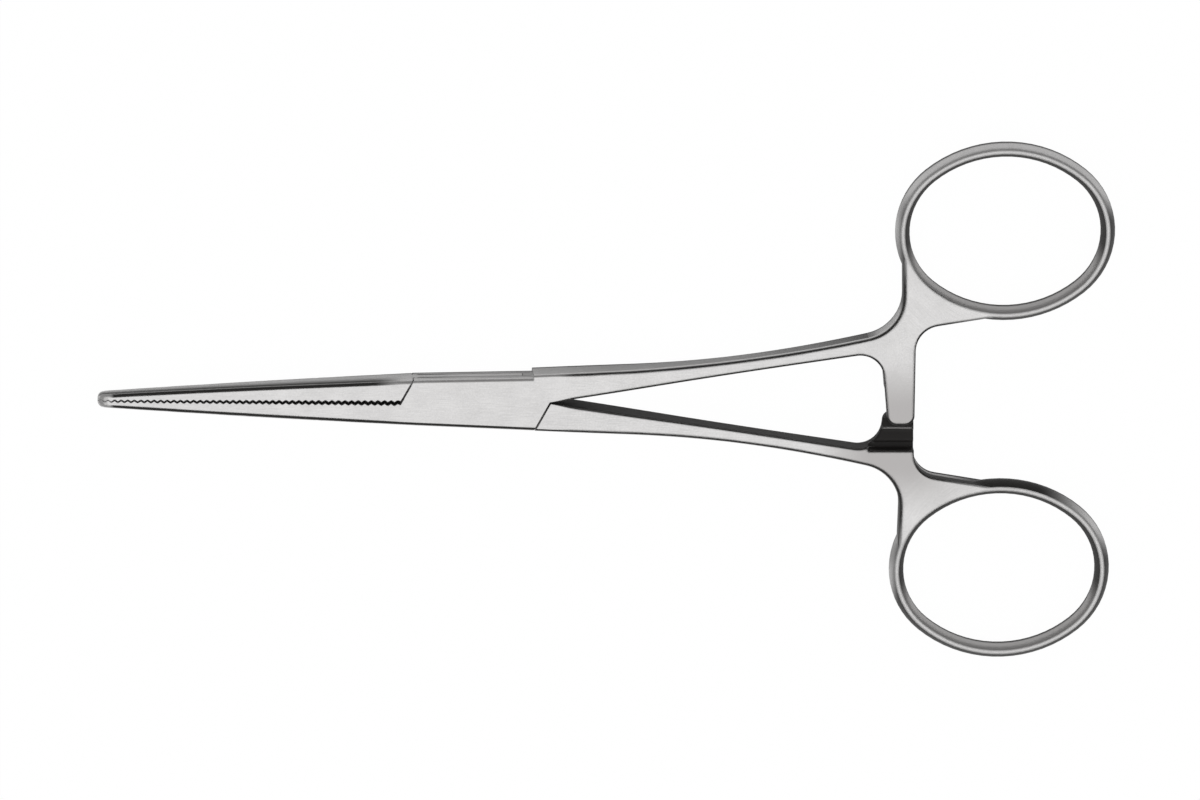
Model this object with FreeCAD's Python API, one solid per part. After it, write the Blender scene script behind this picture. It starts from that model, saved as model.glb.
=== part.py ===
import FreeCAD, Part
import math
import os

# Haemostat forceps with a box lock, straight jaws and a ratchet, in millimetres. It is drawn closed on the
# first ratchet tooth, as it lies on a table: +Z up, the jaws to -X, the finger rings to +X.
# It is three pieces of stainless steel. The box half is forged with two walls and a slot between them. The
# tongue half passes through that slot. The pin through both is the axis they turn on, and is ground flush.
# The origin is on the pin's axis, on the back of the box.
# Both halves are drawn in one local frame: the middle of the steel at Z = 0, the jaw on -Y, the shank and
# the ring on +Y, the ratchet arm on +Z. The tongue half is then turned over about X.

# Along the instrument, from the pin
tip_x = -51.75  # end of the jaws
slot_radius = 7.6  # the slot in the box ends in two arcs about the pin
jaw_root_wall = 2.6  # from the slot to where the jaw face begins
crotch_wall = 2.8  # from the slot to where the two shanks part
step_wall = 0.5  # from the slot to the end of the cut-down box wall
bend_x = 20.0  # the outer edge of the shank is straight up to here
neck_x = 58.9  # corner of shank and ring

# Heights above the instrument's long axis, in plan
tip_height = 0.98
jaw_root_height = 3.2
bend_height = 4.52
neck_height = 10.25
neck_depth = 3.1  # from the outer corner of the shank's end down to the inner one
step_height = 0.42  # of the shank above the box wall
crotch_gap = 0.12  # between the shanks where they part
jaw_root_gap = 0.4  # between the jaw faces at the box, when the tips touch
tip_gap = 0.04
shoulder_angle = 62.0  # of the ends of the box walls, from the long axis

# Thickness in side view
box_thickness = 4.3
tip_thickness = 2.2
waist_thickness = 2.95
ring_thickness = 3.3
flat_before_slot = 0.4  # the box is flat from this far before the slot
flat_past_crotch = 0.6
waist_x = 38.0
ring_plane_lead = 1.9  # full ring thickness starts this far before the neck
nose_length = 1.5  # the tip is rounded over this length in side view
nose_flat = 0.7

# Finger ring, an oval of wire with bulging sides and flat faces
ring_back = 1.3  # the ring starts this far before the neck
ring_rise = 1.1  # and this far above it
ring_length = 30.3
ring_width = 25.3
wire_width = 2.0
wire_flat = 0.6  # width of the flat on each face

# Jaw serrations, across the jaw
serration_pitch = 0.905
serration_depth = 0.3

# Box lock
wall_thickness = 1.42
tongue_clearance = 0.03  # on each side of the tongue
slot_clearance = 0.06
shoulder_clearance = 0.13
pin_radius = 1.6
pin_running_clearance = 0.04

# Ratchet
arm_lead = 2.9  # inner corner of shank and arm, before the neck
arm_taper = 1.0  # of the arm's left edge, over its length
arm_width = 3.65  # at the free end of the box half's arm
web_rise = 0.1  # underside of the web beside the arm, above the neck
ratchet_y = -2.65  # middle of the stretch where the two arms overlap
arm_overlap = 1.25
tooth_pitch = 1.68
tooth_count = 3
tooth_height = 0.5
tooth_land = 0.14
lock_face_run = 0.08
tooth_tip_clearance = 0.05  # between the tips of the two arms
root_gullet = 0.83  # from the last tooth to where the arm is full thickness

# Rounded corners in plan, beside the tip's
neck_radius = 6.0
web_radius = 3.6
inner_radius = 3.3
arm_end_radius = 1.3
shoulder_radius = 0.45

# Rounding of the outer edges
jaw_edge = 0.6  # jaws
box_edge = 0.5

# Room past the steel for cutting tools
margin = 2.0

UP = FreeCAD.Vector(0, 0, 1)


def point(x, y, z=0.0):
    return FreeCAD.Vector(x, y, z)


def on_line(x, start, end):
    """Height at x of the straight line through two plan points."""
    return start.y + (end.y - start.y) * (x - start.x) / (end.x - start.x)


def tangent_arc(start, direction, end):
    """Arc from start to end that leaves along direction."""
    chord = end - start
    turn = 2.0 * (math.atan2(chord.y, chord.x) - math.atan2(direction.y, direction.x))
    radius = chord.Length / (2.0 * math.sin(turn / 2.0))
    normal = point(-direction.y, direction.x).normalize()
    centre = start + normal * radius
    middle = centre + FreeCAD.Rotation(UP, math.degrees(turn / 2.0)).multVec(start - centre)
    return Part.Arc(start, middle, end).toShape()


def lines(points):
    """Straight edges through a run of points."""
    return [Part.makeLine(a, b) for a, b in zip(points, points[1:])]


def plate(edges, low, high):
    """Solid between two heights, over the plan outline that the edges make."""
    face = Part.Face(Part.Wire(Part.__sortEdges__(edges)))
    face.translate(UP * low)
    return face.extrude(UP * (high - low))


def oval(length, width):
    """Outline edges of an oval about the ring's middle: four tangent arcs that follow an ellipse closely."""
    a = length / 2
    b = width / 2
    chord = math.hypot(a, b)
    end_radius = (chord - a + b) * chord / (2 * a)
    side_radius = (chord + a - b) * chord / (2 * b)
    reach = side_radius / (side_radius - end_radius)
    joint_x = (a - end_radius) * reach
    joint_y = (side_radius - b) * (reach - 1)
    joints = [(joint_x, joint_y), (-joint_x, joint_y), (-joint_x, -joint_y), (joint_x, -joint_y)]
    middles = [(0, b), (-a, 0), (0, -b), (a, 0)]
    edges = []
    for i in range(4):
        run = [point(ring_x + u, ring_y + v) for u, v in (joints[i], middles[i], joints[(i + 1) % 4])]
        edges.append(Part.Arc(*run).toShape())
    return edges


def round_corners(solid, corners):
    """Round the upright edges at the given plan points. corners is a list of (point, radius)."""
    for corner, radius in corners:
        upright = [e for e in solid.Edges
                   if len(e.Vertexes) == 2
                   and abs(e.Vertexes[0].Z - e.Vertexes[1].Z) > 0.1
                   and all(math.hypot(v.X - corner.x, v.Y - corner.y) < 1e-4 for v in e.Vertexes)]
        solid = solid.makeFillet(radius, upright)
    return solid


# Stations and heights that follow from those above
jaw_root_x = -slot_radius - jaw_root_wall
crotch_x = slot_radius + crotch_wall
step_x = slot_radius + step_wall
inner_end_x = neck_x - arm_lead
ring_plane_x = neck_x - ring_plane_lead
arm_left_x = inner_end_x + arm_taper
arm_right_x = arm_left_x + arm_width
web_height = neck_height + web_rise
ring_x = neck_x - ring_back + ring_length / 2
ring_y = neck_height + ring_rise + ring_width / 2
tip_corner = 0.8 * tip_height

tip_bottom = point(tip_x, -tip_height)
jaw_root = point(jaw_root_x, -jaw_root_height)
bend = point(bend_x, bend_height)
neck = point(neck_x, neck_height)
inner_end = point(inner_end_x, neck_height - neck_depth)
crotch = point(crotch_x, crotch_gap / 2)
face_root = point(jaw_root_x, -jaw_root_gap / 2)
outer_start = point(jaw_root_x, jaw_root_height)
shoulder_slope = math.tan(math.radians(shoulder_angle))


def outer_height(x):
    """Outer edge of jaw root, box and shank up to the bend, as a height above the long axis."""
    return on_line(x, outer_start, bend)


def meet_outer(start, slope):
    """Where a sloping line from start meets the outer edge, on +Y."""
    edge_slope = (bend.y - outer_start.y) / (bend.x - outer_start.x)
    x = (start.y - slope * start.x - outer_start.y + edge_slope * outer_start.x) / (edge_slope - slope)
    return point(x, outer_height(x))


# Corners of the box walls: the upper one at the jaws, the lower one at the shanks
wall_left = meet_outer(face_root, shoulder_slope)
wall_right = meet_outer(point(crotch.x, -crotch.y), -shoulder_slope)
wall_right.y = -wall_right.y


# The shank's upper corner above the box walls, and the wall's end below it
step_top = point(step_x, outer_height(step_x))
wall_top = point(step_x, step_top.y - step_height)
shank_edge = 0.95 * step_height


def arm_left_edge(y):
    """The arm tapers: how far along its left edge is at a given height."""
    free_end = ratchet_y - arm_overlap / 2
    return inner_end.x + (arm_left_x - inner_end.x) * (inner_end.y - y) / (inner_end.y - free_end)


def jaw_face(phase):
    """Points of the serrated jaw face, from the tip to the root. phase shifts the teeth, in pitches."""
    start = point(tip_x, -tip_gap / 2)
    half_steps = int(2 * (face_root.x - tip_x) / serration_pitch)
    points = []
    for i in range(half_steps + 1):
        x = tip_x + serration_pitch * i / 2
        rise = serration_depth / 2 if (i + 2 * phase) % 2 else -serration_depth / 2
        points.append(point(x, on_line(x, start, face_root) + rise))
    return points


def jaw_side():
    """Outline edge of the jaw's outer side: it runs on from the box's and bows a little."""
    return tangent_arc(jaw_root, jaw_root - wall_right, tip_bottom)


def shank_and_arm(arm_end):
    """Outline edges from the bend, over the ring's middle and the ratchet arm, to the crotch."""
    direction = bend - outer_start
    arm_left = point(arm_left_edge(arm_end), arm_end)
    ring_middle = point(ring_x, ring_y)
    ring_left = point(ring_x - (ring_length - wire_width) / 2, ring_y)
    ring_bottom = point(ring_x, ring_y - (ring_width - wire_width) / 2)
    run = [neck, ring_left, ring_middle, ring_bottom, point(arm_right_x, web_height),
           point(arm_right_x, arm_end), arm_left, inner_end, crotch]
    return [tangent_arc(bend, direction, neck)] + lines(run)


def side_curve(start, end):
    """Two equal tangent arcs, level at both ends."""
    level = point(1, 0)
    middle = (start + end) * 0.5
    return [tangent_arc(start, level, middle), tangent_arc(end, -level, middle)]


def side_profile():
    """Solid with the instrument's thickness in side view, wide enough to hold one half. The outline is
    drawn in plan, with the thickness along Y, and then stood up."""
    far = ring_x + ring_length
    nose = point(tip_x, nose_flat / 2)
    tip_end = point(tip_x + nose_length, tip_thickness / 2)
    flat_start = point(-slot_radius - flat_before_slot, box_thickness / 2)
    flat_end = point(crotch_x + flat_past_crotch, box_thickness / 2)
    waist = point(waist_x, waist_thickness / 2)
    ring_start = point(ring_plane_x, ring_thickness / 2)
    ring_end = point(far, ring_thickness / 2)
    upper = ([tangent_arc(tip_end, tip_end - flat_start, nose)] + lines([tip_end, flat_start, flat_end])
             + side_curve(flat_end, waist) + side_curve(waist, ring_start) + lines([ring_start, ring_end]))
    lower = [e.mirror(point(0, 0), point(0, 1)) for e in upper]
    ends = lines([nose, point(nose.x, -nose.y)]) + lines([ring_end, point(far, -ring_end.y)])
    solid = plate(upper + lower + ends, 0, 2 * (ring_y + ring_width))
    solid.rotate(point(0, 0), point(1, 0), 90)
    solid.translate(point(0, ring_y + ring_width))
    return solid


def on_circle(radius, start, end, side):
    """Where the straight line through start and end meets a circle about the pin. side is -1 or 1, for X."""
    direction = (end - start).normalize()
    along = start.dot(direction)
    reach = math.sqrt(radius ** 2 - start.dot(start) + along ** 2)
    return start + direction * (side * reach - along)


def box_outline():
    """Plan outline of the box half."""
    upper = [tip_bottom] + jaw_face(0) + [face_root, wall_left, wall_top, step_top, bend]
    return (lines(upper) + shank_and_arm(ratchet_y - arm_overlap / 2)
            + lines([crotch, wall_right, jaw_root]) + [jaw_side()])


def tongue_outline():
    """Plan outline of the tongue half: between jaw and shank it is bounded by two arcs about the pin."""
    radius = slot_radius - slot_clearance
    arc_start = point(-math.sqrt(radius ** 2 - face_root.y ** 2), face_root.y)
    jaw_end = on_circle(radius, outer_start, bend, -1)
    shank_side = point(math.sqrt(radius ** 2 - crotch.y ** 2), crotch.y)
    wall_start = point(wall_left.x, -wall_left.y)
    wall_end = point(step_x, -wall_top.y)
    shank_end = on_circle(radius, wall_start, wall_end, 1)
    jaw_middle = (arc_start + jaw_end).normalize() * radius
    shank_middle = (shank_side + shank_end).normalize() * radius
    return (lines([tip_bottom] + jaw_face(0.5) + [face_root, arc_start])
            + [Part.Arc(arc_start, jaw_middle, jaw_end).toShape()]
            + lines([jaw_end, bend]) + shank_and_arm(-ratchet_y - arm_overlap / 2)
            + lines([crotch, shank_side])
            + [Part.Arc(shank_side, shank_middle, shank_end).toShape()]
            + lines([shank_end, wall_start, jaw_root]) + [jaw_side()])


def long_edges(solid, start, end):
    """Edges of the front and back faces that run along the plan line from start to end."""
    found = []
    for edge in solid.Edges:
        ends = [edge.valueAt(edge.FirstParameter), edge.valueAt(edge.LastParameter)]
        if all(point(p.x, p.y).distanceToLine(start, end - start) < 1e-4 for p in ends):
            flat = abs(ends[0].x - ends[1].x) > 0.1
            inside = min(start.x, end.x) - 1e-4 < min(p.x for p in ends)
            inside = inside and max(p.x for p in ends) < max(start.x, end.x) + 1e-4
            if flat and inside:
                found.append(edge)
    return found


def blank(outline, arm_end, side_edges):
    """One half before its ring is joined and its lock and ratchet are cut. side_edges is a list of
    (plan start, plan end, rounding)."""
    solid = plate(outline, -box_thickness, box_thickness)
    solid = round_corners(solid, [(tip_bottom, tip_corner), (neck, neck_radius), (inner_end, inner_radius),
                                  (point(arm_right_x, web_height), web_radius),
                                  (point(arm_right_x, arm_end), arm_end_radius),
                                  (point(arm_left_edge(arm_end), arm_end), arm_end_radius)])
    solid = solid.common(side_profile())
    for start, end, radius in side_edges:
        solid = solid.makeFillet(radius, long_edges(solid, start, end))
    return solid


def crest_line():
    """Outline edges of the middle of the ring's wire."""
    return oval(ring_length - wire_width, ring_width - wire_width)


def ring():
    """Finger ring: its section carried round the crest line."""
    path = crest_line()
    start = path[0].valueAt(path[0].FirstParameter)
    along = path[0].tangentAt(path[0].FirstParameter)
    across = point(-along.y, along.x)
    top = UP * (ring_thickness / 2)
    sides = []
    for out in (across, -across):
        flat = start + out * (wire_flat / 2)
        sides.append(Part.Arc(flat + top, start + out * (wire_width / 2), flat - top).toShape())
    faces = [Part.makeLine(start + across * (wire_flat / 2) + rise, start - across * (wire_flat / 2) + rise)
             for rise in (top, -top)]
    section = Part.Wire(Part.__sortEdges__(sides + faces))
    return Part.Wire(path).makePipeShell([section], True, True)


def with_ring(solid):
    """Join the ring on. The half stops at the ring's crest line, so the finger hole keeps its round wall."""
    return solid.cut(plate(crest_line(), -box_thickness, box_thickness)).fuse(ring())


def ratchet_cut(centre):
    """Everything below the ratchet teeth of one arm. Each tooth points down, with its steep face on +Y."""
    tip = tooth_tip_clearance / 2
    valley = tip + tooth_height
    below = -box_thickness
    free_end = centre - arm_overlap / 2 - margin
    ramp = tooth_height / (tooth_pitch - lock_face_run - tooth_land)
    profile = [(free_end, below), (free_end, tip + ramp * (centre - tooth_land - free_end))]
    for i in range(tooth_count):
        crest = centre + i * tooth_pitch
        profile += [(crest - tooth_land, tip), (crest, tip), (crest + lock_face_run, valley)]
    last_valley = profile[-1][0]
    root = last_valley + root_gullet
    profile += [(root, valley - ramp * root_gullet), (root, below), (free_end, below)]
    left = inner_end_x - inner_radius / 2
    face = Part.Face(Part.makePolygon([point(left, y, z) for y, z in profile]))
    return face.extrude(point(arm_right_x + margin - left, 0))


def rectangle(x_range, y_range, z_range):
    """Block between opposite limits."""
    sides = [b - a for a, b in (x_range, y_range, z_range)]
    return Part.makeBox(*sides, point(x_range[0], y_range[0], z_range[0]))


def box_slot():
    """The slot through the box half, open to the upper left and the lower right."""
    half = box_thickness / 2 - wall_thickness
    heights = (-half, half)
    disc = Part.makeCylinder(slot_radius, 2 * half, point(0, 0, -half))
    reach = bend_height + margin
    jaw_side = rectangle((jaw_root_x, 0), (face_root.y, reach), heights)
    shank_side = rectangle((0, crotch_x), (-reach, crotch.y), heights)
    return disc.fuse([jaw_side, shank_side])


def wall_corner():
    """What is cut off to round the upper corner of the box walls, in plan."""
    sides = [(p - wall_left).normalize() for p in (face_root, wall_top)]
    half_angle = sides[0].getAngle(sides[1]) / 2
    inward = (sides[0] + sides[1]).normalize()
    ends = [wall_left + side * (shoulder_radius / math.tan(half_angle)) for side in sides]
    middle = wall_left + inward * (shoulder_radius / math.sin(half_angle) - shoulder_radius)
    arc = Part.Arc(ends[0], middle, ends[1]).toShape()
    return plate([arc] + lines([ends[1], wall_left, ends[0]]), -box_thickness, box_thickness)


def wall_pockets():
    """The two pockets in the tongue half that the box walls lie in."""
    tongue_half = box_thickness / 2 - wall_thickness - tongue_clearance
    reach = bend_height + margin
    lean = 1 / shoulder_slope
    gap = shoulder_clearance / math.sin(math.radians(shoulder_angle))
    corners = []
    for x, y, shift in ((face_root.x, -face_root.y, -gap), (crotch.x, -crotch.y, gap)):
        run = [point(x + shift + lean * (y - height), height) for height in (-reach, reach)]
        corners += run if shift < 0 else run[::-1]
    outline = lines(corners + corners[:1])
    return [plate(outline, tongue_half, box_thickness), plate(outline, -box_thickness, -tongue_half)]


def bore(radius):
    """Pin hole through everything."""
    return Part.makeCylinder(radius, 2 * box_thickness, point(0, 0, -box_thickness))


def box_half():
    """Lower jaw, box walls, upper shank, ratchet arm and ring."""
    edges = [(jaw_root, wall_right, jaw_edge), (wall_left, wall_top, box_edge), (step_top, bend, shank_edge)]
    solid = blank(box_outline(), ratchet_y - arm_overlap / 2, edges)
    solid = with_ring(solid)
    return solid.cut([ratchet_cut(ratchet_y), box_slot(), bore(pin_radius), wall_corner()])


def tongue_half():
    """Upper jaw, tongue, lower shank, ratchet arm and ring."""
    jaw_end = on_circle(slot_radius - slot_clearance, outer_start, bend, -1)
    edges = [(jaw_root, wall_right, jaw_edge), (jaw_end, bend, shank_edge)]
    solid = blank(tongue_outline(), -ratchet_y - arm_overlap / 2, edges)
    solid = with_ring(solid)
    solid = solid.cut([ratchet_cut(-ratchet_y)] + wall_pockets() + [bore(pin_radius + pin_running_clearance)])
    solid.rotate(point(0, 0), point(1, 0), 180)
    return solid


def joint_pin():
    """The pin, flush with both faces of the box."""
    return Part.makeCylinder(pin_radius, box_thickness, point(0, 0, -box_thickness / 2))


os.makedirs("parts", exist_ok=True)
for name, build in (("box_half", box_half), ("tongue_half", tongue_half), ("joint_pin", joint_pin)):
    shape = build()
    shape.translate(UP * (box_thickness / 2))
    shape.exportStep("parts/" + name + ".step")
    state = "valid" if shape.isValid() else "NOT VALID"
    print(name, state, len(shape.Solids), "solid", round(shape.Volume, 2), "mm3")
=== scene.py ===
import bpy
import math
from mathutils import Matrix, Vector


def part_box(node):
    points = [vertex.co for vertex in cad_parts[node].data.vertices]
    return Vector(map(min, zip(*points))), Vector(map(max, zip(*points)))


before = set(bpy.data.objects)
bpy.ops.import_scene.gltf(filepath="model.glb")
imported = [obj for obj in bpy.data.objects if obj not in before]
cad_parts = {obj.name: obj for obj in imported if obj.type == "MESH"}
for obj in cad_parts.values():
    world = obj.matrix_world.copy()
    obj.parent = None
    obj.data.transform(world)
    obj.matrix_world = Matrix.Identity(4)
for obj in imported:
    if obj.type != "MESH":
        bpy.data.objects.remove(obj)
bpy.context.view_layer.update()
print("frame loaded:", sorted(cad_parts))

mm = 0.001

# The camera looks down on the instrument, tilted towards the side of the box half's ring.
cameraSettings = {
    "tilt": 15.5,  # degrees from straight down
    "swing": 4.0,  # degrees to the side of the jaws
    "pixelsPerMm": 7.28,
    "imageSize": (1200, 800),
    "pivotPixel": (473.5, 399.1),  # where the joint's middle lies in the picture
    "distance": 0.6,
    "clip": (0.01, 10),
}


def addCamera(settings):
    tilt, swing = math.radians(settings["tilt"]), math.radians(settings["swing"])
    back = Vector((-math.sin(swing) * math.cos(tilt), math.sin(tilt), math.cos(swing) * math.cos(tilt)))
    up = Vector((0, back.z, -back.y)).normalized()
    right = up.cross(back)
    low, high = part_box("joint_pin")
    pivot = (low + high) / 2
    width, height = settings["imageSize"]
    perPixel = mm / settings["pixelsPerMm"]
    x, y = settings["pivotPixel"]
    middle = pivot + right * (width / 2 - x) * perPixel + up * (y - height / 2) * perPixel
    data = bpy.data.cameras.new("camera")
    data.type = "ORTHO"
    data.ortho_scale = width * perPixel
    data.clip_start, data.clip_end = settings["clip"]
    camera = bpy.data.objects.new("camera", data)
    bpy.context.scene.collection.objects.link(camera)
    turn = Matrix((right, up, back)).transposed().to_4x4()
    camera.matrix_world = Matrix.Translation(middle + back * settings["distance"]) @ turn
    bpy.context.scene.camera = camera
    return middle


class Value:
    # Wraps a socket, so that maths on it adds the nodes
    def __init__(self, tree, socket):
        self.tree = tree
        self.socket = socket

    def node(self, kind, settings=None, output=0, **inputs):
        # An input goes by its label, with _ for a space, or by its number as in0, in1 and so on
        made = self.tree.nodes.new(kind)
        for name, setting in (settings or {}).items():
            setattr(made, name, setting)
        for name, given in inputs.items():
            target = made.inputs[int(name[2:]) if name.startswith("in") else name.replace("_", " ")]
            if isinstance(given, Value):
                self.tree.links.new(given.socket, target)
            else:
                target.default_value = given
        return Value(self.tree, made.outputs[output])

    def maths(self, operation, *others):
        inputs = {"in%d" % (i + 1): other for i, other in enumerate(others)}
        return self.node("ShaderNodeMath", {"operation": operation}, in0=self, **inputs)

    def __add__(self, other):
        return self.maths("ADD", other)

    def __radd__(self, other):
        return self.maths("ADD", other)

    def __sub__(self, other):
        return self.maths("SUBTRACT", other)

    def __rsub__(self, other):
        return self.node("ShaderNodeMath", {"operation": "SUBTRACT"}, in0=other, in1=self)

    def __mul__(self, other):
        return self.maths("MULTIPLY", other)

    def __rmul__(self, other):
        return self.maths("MULTIPLY", other)

    def __truediv__(self, other):
        return self.maths("DIVIDE", other)

    def __abs__(self):
        return self.maths("ABSOLUTE")

    def most(self, other):
        return self.maths("MAXIMUM", other)

    def ramp(self, low, high):
        # 0 below low, 1 above high and smooth between them; low may be the larger
        if low > high:
            return 1 - self.ramp(high, low)
        return self.node("ShaderNodeMapRange", {"interpolation_type": "SMOOTHSTEP"},
                         Value=self, From_Min=low, From_Max=high, To_Min=0.0, To_Max=1.0)

    def parts(self):
        split = self.tree.nodes.new("ShaderNodeSeparateXYZ")
        self.tree.links.new(self.socket, split.inputs[0])
        return [Value(self.tree, output) for output in split.outputs]

    def noise(self, scale, detail, roughness):
        return self.node("ShaderNodeTexNoise", Vector=self, Scale=scale, Detail=detail, Roughness=roughness)

    def choose(self, first, second):
        # 0 gives the first of two values and 1 the second
        return (second - first) * self + first

    def mix(self, first, second):
        # the same between two colours
        return self.node("ShaderNodeMix", {"data_type": "RGBA"}, output=2, in0=self, in6=first, in7=second)


def newMaterial(name):
    material = bpy.data.materials.new(name)
    material.use_nodes = True
    tree = material.node_tree
    tree.nodes.clear()
    output = tree.nodes.new("ShaderNodeOutputMaterial")
    shader = tree.nodes.new("ShaderNodeBsdfPrincipled")
    tree.links.new(shader.outputs[0], output.inputs[0])
    return material, tree, shader


def linkTo(shader, name, value):
    shader.id_data.links.new(value.socket, shader.inputs[name])


# Places and sizes of the instrument that the looks follow
body = {
    "middle": 2.15 * mm,  # height of the halves' middle plane, which is half of the box's thickness
    "boxEnd": 10 * mm,  # from here on both sides of the pin the steel gets thinner
    "taper": 0.025,  # by this share of the length, on each side of the middle plane
    "taperEnd": 38 * mm,
    "slotHalf": 0.73 * mm,  # half the height of the slot through the box
    "ratchetSide": -5 * mm,
    "ringCentre": (72.75 * mm, 24.0 * mm),
    "ringRadius": 12 * mm,
}

# Finely brushed along the shanks and round the rings
brushing = {
    "turnsFrom": 52 * mm,  # where the brushing starts to turn round the ring
    "turned": 60 * mm,
    "scratch": 0.05 * mm,  # width of a scratch
    "stretch": 60,  # and its length in widths
    "grain": 0.25 * mm,
    "cloud": 3.5 * mm,
    "streakShare": 0.5,  # how much each adds to the tone
    "grainShare": 0.3,
    "cloudShare": 0.2,
    "tone": (0.34, 0.66),
    "streakHeight": 0.6,
    "grainHeight": 0.8,
    "depth": 0.015 * mm,
    "bump": 0.3,
}

steel = {
    "light": (0.74, 0.732, 0.728, 1),
    "shade": (0.58, 0.573, 0.57, 1),
    "dull": (0.45, 0.437, 0.432, 1),  # painted shade round the ratchet
    "holeWallShadeAndRough": (0.50, 0.49, 0.485, 1),  # painted shade inside the finger holes, whose walls are also rougher
    "rim": (0.02, 0.019, 0.018, 1),  # painted shade where an edge turns over, for the dark reflection there
    "skin": (0.022, 0.020, 0.019, 1),  # painted shadow: near black between the shanks, in the ratchet and in the jaws, where shade falls
    "specular": 0.25,
    "roughness": 0.24,
    "streakRoughness": 0.14,  # how much the rest varies or adds to it
    "grainRoughness": 0.08,
    "darkRoughness": 0.25,
    "wallRoughness": 0.1,
}

# How far the sharp edges are broken
edges = {
    "shank": 0.60 * mm,
    "jaw": 0.36 * mm,
    "neck": 0.85 * mm,  # where the neck runs into the ring
    "lock": 0.17 * mm,  # where they stay crisp
    "tooth": 0.21 * mm,  # on the teeth of the jaws
    "pin": 0.01 * mm,  # round the pin, which is ground flush
}

# Each zone is a product of ramps: what is measured, where the ramp starts and where it is full
zones = {
    "upright": [("flat", 0.75, 0.45)],
    # Painted shadow on the sides between the shanks, the faces of the jaws, the teeth of the ratchet in the
    # middle of the steel's thickness, without the lands between them, and on the lower arm's own side
    "shankSide": [("ringward", 0.1, -0.3), ("x", 9.5 * mm, 10.5 * mm), ("x", 58.5 * mm, 57.0 * mm)],
    "jawFace": [("ringward", -0.1, 0.3), ("x", -9.5 * mm, -10.5 * mm), ("absY", 0.6 * mm, 0.4 * mm)],
    "teeth": [("x", 54.5 * mm, 55.5 * mm), ("absY", 7.4 * mm, 7.0 * mm), ("lengthways", 0.6, 0.3),
              ("fromMiddle", 1.0 * mm, 0.8 * mm)],
    "land": [("flat", 0.9, 0.97), ("fromMiddle", 0.2 * mm, 0.12 * mm), ("absY", 5.0 * mm, 4.8 * mm)],
    "armSide": [("x", 50 * mm, 52 * mm), ("absY", 8.5 * mm, 7.5 * mm)],
    # Painted shadow in the parting lines between the box's walls and the tongue, which open towards one end
    "seam": [("fromSlotEdge", 0.24 * mm, 0.12 * mm), ("absY", 1.0 * mm, 1.5 * mm),
             ("absX", 7.9 * mm, 7.6 * mm)],
    "seamOpen": [("crossed", -2.0 * mm, -5.0 * mm)],
    # The wall of the finger hole
    "holeward": [("holeward", -0.15, -0.5)],
    "holePlace": [("x", 57.5 * mm, 58.5 * mm), ("ringY", -12.8 * mm, -11.8 * mm)],
    # Where the edges are broken by different amounts
    "lock": [("absX", 14 * mm, 10.6 * mm)],
    "pin": [("fromPin", 2.4 * mm, 2.0 * mm)],
    "jaw": [("x", 0, -10 * mm)],
    "neck": [("absY", 9 * mm, 11 * mm), ("absY", 22 * mm, 20 * mm), ("x", 60.5 * mm, 59 * mm),
             ("x", 50 * mm, 52 * mm)],
    "jawTeeth": [("x", -8 * mm, -9 * mm), ("absY", 0.75 * mm, 0.55 * mm)],
    # Painted shade on the broken edges themselves, and where it is less dark
    "rim": [("broken", 0.9985, 0.985), ("broken", 0.60, 0.75)],
    "nose": [("x", -49.5 * mm, -50.2 * mm)],
    "farSide": [("y", 2.2 * mm, 2.6 * mm)],
    "ringEnd": [("x", 64 * mm, 70 * mm)],
    "ringOuter": [("absY", 16 * mm, 21 * mm)],
    # Painted shade at the foot of the sides, near the back
    "foot": [("level", -0.56, -0.74)],
    "ringFoot": [("up", 0.24, 0.04), ("far", 0.0, 0.5)],
    # Painted dark reflection on the far side of the jaw, darker towards its front edge, and so on that of
    # the lower web and ring
    "jawSide": [("far", 0.2, 0.5), ("x", -9 * mm, -14 * mm), ("level", -0.3, 0.9)],
    "webSide": [("far", 0.25, 0.6), ("x", 54 * mm, 57 * mm), ("x", 86 * mm, 78 * mm),
                ("y", -25 * mm, -22 * mm), ("level", -0.3, 0.2), ("flat", 0.97, 0.9)],
    # Painted dark reflection on the near side of the rings
    "ringSide": [("flat", 0.93, 0.80), ("far", 0.5, 0.1), ("x", 57.5 * mm, 59 * mm)],
    # Painted shade round the ratchet
    "dull": [("x", 46 * mm, 55 * mm), ("fromRatchet", 12 * mm, 4 * mm), ("x", 70 * mm, 60 * mm)],
}

# How strongly a zone shows, where it doesn't in full
strengths = {"nose": 0.8, "farSide": 0.65, "onRing": 0.55, "ringFoot": 0.9, "jawSide": 0.95, "ringSide": 0.9,
             "closedSeam": 0.45}


def takeMeasures(place, normal, side):
    x, y, z = place.parts()
    nx, ny, nz = normal.parts()
    ringX, ringY = x - body["ringCentre"][0], y * side - body["ringCentre"][1]
    radius = (ringX * ringX + ringY * ringY).maths("SQRT")
    height = z - body["middle"]
    fromMiddle = abs(height)
    away = (abs(x.maths("MINIMUM", body["taperEnd"])) - body["boxEnd"]).most(0.0)
    return {
        "x": x, "y": y, "z": z, "absX": abs(x), "absY": abs(y),
        "up": nz, "far": ny, "flat": abs(nz), "lengthways": abs(nx),
        "ringward": ny * side,  # towards the side of the half's own ring
        "holeward": (ringX * nx + ringY * ny * side) / radius,  # negative on the walls of the finger hole
        "ringY": ringY,
        "radius": radius,
        "angle": ringY.maths("ARCTAN2", ringX),
        "fromPin": (x * x + y * y).maths("SQRT"),
        "fromMiddle": fromMiddle,
        "fromSlotEdge": abs(fromMiddle - body["slotHalf"]),
        "fromRatchet": abs(y - body["ratchetSide"]),
        "crossed": x * y.maths("SIGN"),
        "level": height / (body["middle"] - away * body["taper"]),  # -1 at the back and 1 at the front
    }


def zone(measures, name):
    ramps = [measures[key].ramp(low, high) for key, low, high in zones[name]]
    return math.prod(ramps[1:], start=ramps[0])


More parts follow.
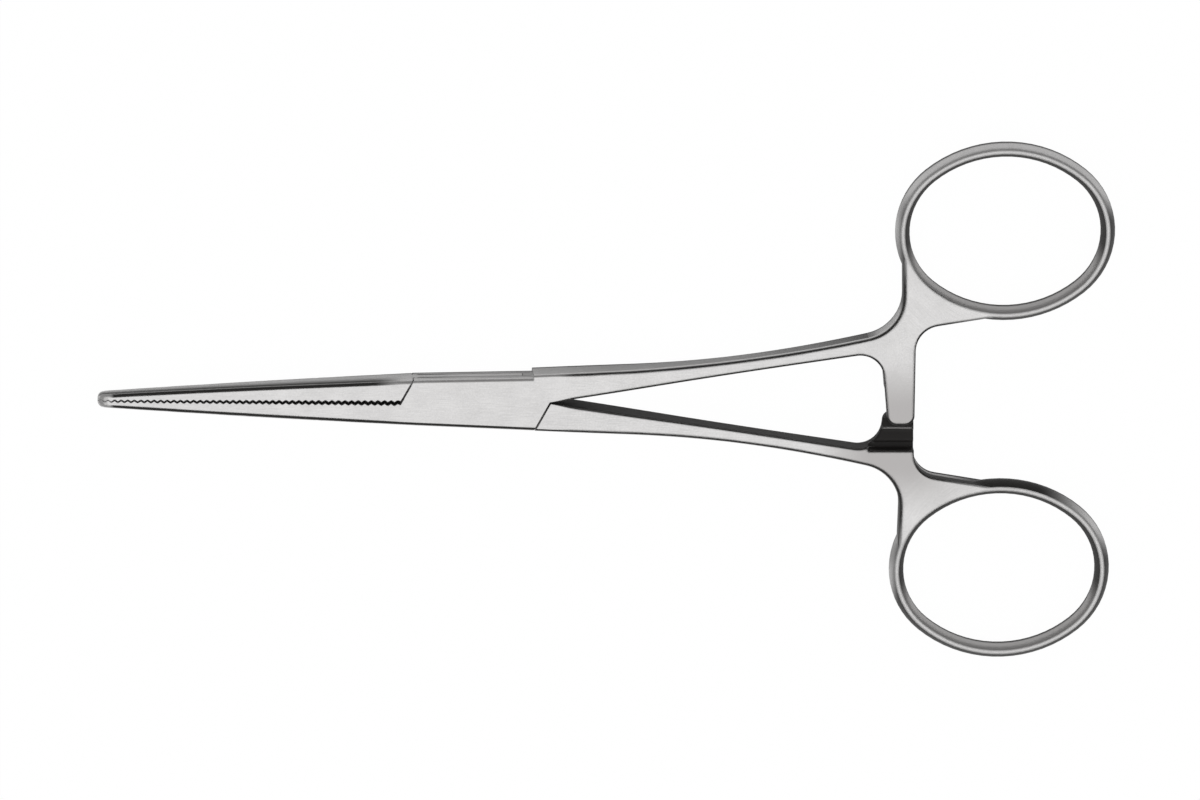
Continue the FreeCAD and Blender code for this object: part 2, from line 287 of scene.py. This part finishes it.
def addTextures(place, measures):
    nearRing = measures["x"].ramp(brushing["turnsFrom"], brushing["turned"])
    straight = 1 - nearRing
    scratch = brushing["scratch"]
    across = measures["y"] * straight + measures["radius"] * nearRing
    along = measures["x"] * straight + measures["angle"] * body["ringRadius"] * nearRing
    brushed = place.node("ShaderNodeCombineXYZ", in0=along / (brushing["stretch"] * scratch),
                         in1=across / scratch, in2=measures["z"] / scratch)
    streaks = brushed.noise(1.0, 3.0, 0.6)
    grain = place.noise(1 / brushing["grain"], 4.0, 0.65)
    cloud = place.noise(1 / brushing["cloud"], 3.0, 0.55)
    return streaks, grain, cloud


# Where painted shadow makes the steel near black and not metallic
def findPaintedShadow(measures, lowerHalf):
    upright = zone(measures, "upright")
    shankSide = upright * zone(measures, "shankSide")
    jawFace = upright * zone(measures, "jawFace")
    armSide = upright * zone(measures, "armSide") * lowerHalf
    seamOpen = zone(measures, "seamOpen").choose(strengths["closedSeam"], 1.0)
    seam = upright * zone(measures, "seam") * seamOpen
    paintedShadeArea = shankSide.most(jawFace).most(zone(measures, "teeth")).most(armSide).most(seam)
    return paintedShadeArea * (1 - zone(measures, "land"))


def breakEdges(place, measures):
    # Rounds the normals near the sharp edges
    radius = zone(measures, "jaw").choose(edges["shank"], edges["jaw"])
    radius = zone(measures, "lock").choose(radius, edges["lock"])
    radius = zone(measures, "pin").choose(radius, edges["pin"])
    radius = zone(measures, "neck").choose(radius, edges["neck"])
    radius = zone(measures, "jawTeeth").choose(radius, edges["tooth"])
    return place.node("ShaderNodeBevel", {"samples": 8}, Radius=radius)


# Painted shade: the dark edges, the foot of the sides and the dark reflections on the sides of the jaw, web
# and rings
def findPaintedShade(measures, holeward, lowerHalf):
    onRing = zone(measures, "ringEnd").most(zone(measures, "ringOuter")).most(holeward)
    farLock = zone(measures, "lock") * zone(measures, "farSide")
    nose = zone(measures, "nose") * strengths["nose"]
    # painted shade along the broken edges, less of it at the nose, on the far side of the lock and on the
    # rings
    rim = zone(measures, "rim") * (1 - zone(measures, "pin")) * (1 - nose)
    rim = rim * (1 - farLock * strengths["farSide"]) * (1 - onRing * strengths["onRing"])
    upright = zone(measures, "upright")
    ringFoot = zone(measures, "ringFoot") * onRing * strengths["ringFoot"]
    foot = upright * zone(measures, "foot").most(ringFoot)
    jawSide = upright * zone(measures, "jawSide") * strengths["jawSide"]
    webSide = zone(measures, "webSide") * lowerHalf
    ringSide = zone(measures, "ringSide") * strengths["ringSide"]
    return rim.most(foot).most(jawSide).most(webSide).most(ringSide)


def steelMaterial(name, side):
    # side is 1 where the ring is on +Y and -1 where it is on -Y
    material, tree, shader = newMaterial(name)
    coordinate = tree.nodes.new("ShaderNodeTexCoord")
    place = Value(tree, coordinate.outputs["Object"])
    measures = takeMeasures(place, Value(tree, coordinate.outputs["Normal"]), side)
    lowerHalf = (1 - side) / 2
    streaks, grain, cloud = addTextures(place, measures)
    skin = findPaintedShadow(measures, lowerHalf)
    holeward = zone(measures, "holeward")
    # painted shade and more roughness on the wall of the finger hole
    holeWallShadeAndRough = holeward * zone(measures, "holePlace")
    broken = breakEdges(place, measures)
    measures["broken"] = abs(broken.parts()[2])
    dark = findPaintedShade(measures, holeward, lowerHalf)
    # painted shadow and painted shade together, which turn the steel black and not metallic
    paintedShadeArea = skin.most(dark)

    tone = (cloud * brushing["cloudShare"] + grain * brushing["grainShare"]
            + streaks * brushing["streakShare"]).ramp(*brushing["tone"])
    # painted shade round the ratchet over the steel's random tone
    colour = zone(measures, "dull").mix(tone.mix(steel["shade"], steel["light"]), steel["dull"])
    # painted shade on edges and sides over the colour, whose hole walls have their own painted shade
    colour = dark.mix(holeWallShadeAndRough.mix(colour, steel["holeWallShadeAndRough"]), steel["rim"])
    # painted shadow over everything else
    colour = skin.mix(colour, steel["skin"])
    roughness = (steel["roughness"] + (streaks - 0.5) * steel["streakRoughness"]
                 + (grain - 0.5) * steel["grainRoughness"] + paintedShadeArea * steel["darkRoughness"]
                 + holeWallShadeAndRough * steel["wallRoughness"])
    height = streaks * brushing["streakHeight"] + grain * brushing["grainHeight"]
    bump = place.node("ShaderNodeBump", Strength=brushing["bump"], Distance=brushing["depth"],
                      Height=height, Normal=broken)
    linkTo(shader, "Base Color", colour)
    linkTo(shader, "Metallic", 1 - paintedShadeArea)
    linkTo(shader, "Roughness", roughness)
    linkTo(shader, "Normal", bump)
    shader.inputs["Specular IOR Level"].default_value = steel["specular"]
    return material


def dressNodes():
    sides = {"box_half": 1, "tongue_half": -1, "joint_pin": 1}
    for node, side in sides.items():
        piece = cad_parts[node]
        piece.data.materials.clear()
        piece.data.materials.append(steelMaterial("steel_" + node, side))


studio = {
    "box": 0.80,  # brightness of the soft box overhead
    "room": 0.26,  # and of the grey walls round it
    "boxSize": (1.3, 0.95),
    "boxPlace": (0, -0.16, 0.7),  # above the instrument and towards the near side
    "screen": 0.15,  # brightness of the four low screens around
    "screenSize": (1.8, 0.62),
    "screenReach": 0.9,
    "screenRise": 0.36,
}

floorSettings = {
    "reach": 3.0,
    "height": -0.01 * mm,  # just clear of the back of the box
    "colour": (0.9, 0.9, 0.9, 1),
    "glow": 1.01,
    "seen": 0.975,  # the glow's share to the camera, so that the floor keeps its shadow
    "mirrored": 0.2,  # and in the steel
}


def addLight(name, place, target, size, radiance):
    data = bpy.data.lights.new(name, "AREA")
    data.shape = "RECTANGLE"
    data.size, data.size_y = size
    data.energy = radiance * math.pi * size[0] * size[1]
    light = bpy.data.objects.new(name, data)
    bpy.context.scene.collection.objects.link(light)
    light.matrix_world = (Matrix.Translation(place)
                          @ (Vector(target) - Vector(place)).to_track_quat("-Z", "Y").to_matrix().to_4x4())
    return light


def addStudio(middle):
    world = bpy.data.worlds.new("room")
    bpy.context.scene.world = world
    world.use_nodes = True
    tree = world.node_tree
    tree.nodes.clear()
    output = tree.nodes.new("ShaderNodeOutputWorld")
    background = tree.nodes.new("ShaderNodeBackground")
    tree.links.new(background.outputs[0], output.inputs[0])
    path = tree.nodes.new("ShaderNodeLightPath")
    # The room is white to the camera and grey to everything else
    seen = Value(tree, path.outputs["Is Camera Ray"])
    strength = seen.choose(studio["room"], 1.0)
    background.inputs["Color"].default_value = (1, 1, 1, 1)
    tree.links.new(strength.socket, background.inputs["Strength"])
    addLight("soft_box", middle + Vector(studio["boxPlace"]), middle, studio["boxSize"], studio["box"])
    for index, (x, y) in enumerate([(1, 0), (0, 1), (-1, 0), (0, -1)]):
        place = middle + Vector((x, y, studio["screenRise"])) * studio["screenReach"]
        screen = addLight("screen_%d" % (index + 1), place, middle, studio["screenSize"], studio["screen"])
        screen.visible_camera = False


def addFloor(settings):
    reach, height = settings["reach"], settings["height"]
    mesh = bpy.data.meshes.new("floor")
    corners = [(x * reach, y * reach, height) for x, y in [(-1, -1), (1, -1), (1, 1), (-1, 1)]]
    mesh.from_pydata(corners, [], [(0, 1, 2, 3)])
    floor = bpy.data.objects.new("floor", mesh)
    bpy.context.scene.collection.objects.link(floor)
    material = bpy.data.materials.new("floor")
    material.use_nodes = True
    tree = material.node_tree
    tree.nodes.clear()
    output = tree.nodes.new("ShaderNodeOutputMaterial")
    diffuse = tree.nodes.new("ShaderNodeBsdfDiffuse")
    diffuse.inputs[0].default_value = settings["colour"]
    glow = tree.nodes.new("ShaderNodeEmission")
    glow.inputs["Strength"].default_value = settings["glow"]
    both = tree.nodes.new("ShaderNodeMixShader")
    path = tree.nodes.new("ShaderNodeLightPath")
    seen, mirrored, through = (Value(tree, path.outputs["Is %s Ray" % kind])
                               for kind in ("Camera", "Glossy", "Transmission"))
    share = (seen * settings["seen"]).most(mirrored.most(through) * settings["mirrored"])
    tree.links.new(share.socket, both.inputs[0])
    tree.links.new(diffuse.outputs[0], both.inputs[1])
    tree.links.new(glow.outputs[0], both.inputs[2])
    tree.links.new(both.outputs[0], output.inputs[0])
    mesh.materials.append(material)


middle = addCamera(cameraSettings)
print("camera placed")
dressNodes()
print("materials made")
addFloor(floorSettings)
addStudio(middle)
bpy.context.scene.view_settings.view_transform = "Standard"
print("studio lit")
